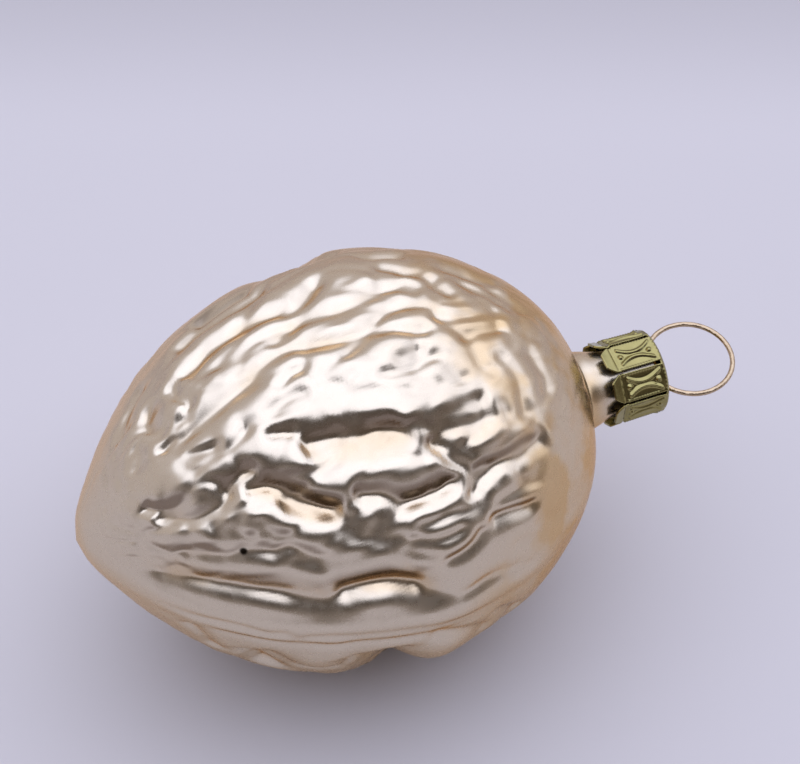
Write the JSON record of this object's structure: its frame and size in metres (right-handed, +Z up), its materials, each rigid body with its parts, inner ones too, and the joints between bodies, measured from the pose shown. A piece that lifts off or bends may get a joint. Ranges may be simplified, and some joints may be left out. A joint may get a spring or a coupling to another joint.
{
  "type": "glass walnut ornament",
  "caption": "Hollow blown-glass tree ornament shaped like a walnut, with a crown cap and a wire hanging ring, lying on its side.",
  "frame": {"origin": "middle of the small flat spot under the body's widest section, on which the ornament lies", "axes": "+X along the nut's axis towards the hanging ring, +Z up from the flat spot, +Y to the far side of the picture"},
  "size_m": [0.0747, 0.0446, 0.0439],
  "materials": {
    "silvered_glass": "silvered inside and frosted outside, with pale champagne lacquer",
    "cap_brass": "thin stamped sheet, greenish gold lacquer, glossy",
    "spring_wire": "drawn wire, bright rose gold"
  },
  "bodies": {
    "root": {"glass_shell": "silvered_glass", "crown_cap": "cap_brass", "hanger_wire": "spring_wire"}
  },
  "joints": []
}
